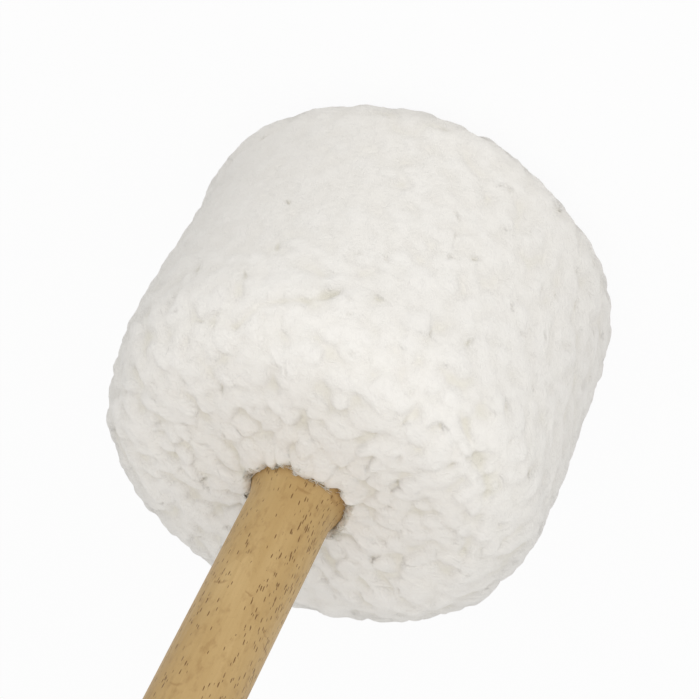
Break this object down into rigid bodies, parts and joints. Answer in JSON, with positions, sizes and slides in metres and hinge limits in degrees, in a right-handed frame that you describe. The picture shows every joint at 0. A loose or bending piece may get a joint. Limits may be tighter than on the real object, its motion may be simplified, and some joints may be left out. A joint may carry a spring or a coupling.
{
  "type": "singing bowl mallet",
  "caption": "Padded mallet for singing bowls: a large drum-shaped head in a sewn white fleece cover, on a straight turned wooden handle that flares where it enters the head.",
  "frame": {"origin": "middle of the far (resting) face of the head, in the plane the mallet stands on", "axes": "+Z along the handle from the head to the butt; X and Y are across the head, with the cover's side seam at +Y"},
  "size_m": [0.098, 0.098, 0.285],
  "materials": {
    "beech": "satin",
    "core_wood": "matte",
    "washer_steel": "satin",
    "screw_steel": "satin",
    "foam": "matte",
    "felt": "matte",
    "fleece": "matte",
    "thread": "matte",
    "drawstring_cotton": "matte"
  },
  "bodies": {
    "root": {"handle": "beech", "core_block": "core_wood", "retaining_washer": "washer_steel", "retaining_screw": "screw_steel", "foam_sleeve": "foam", "foam_far_pad": "foam", "foam_near_ring": "foam", "felt_winding": "felt", "fleece_side_wall": "fleece", "fleece_far_cap": "fleece", "fleece_near_cap": "fleece", "near_seam_thread": "thread", "far_seam_thread": "thread", "side_seam_thread": "thread", "neck_drawstring": "drawstring_cotton"}
  },
  "joints": []
}
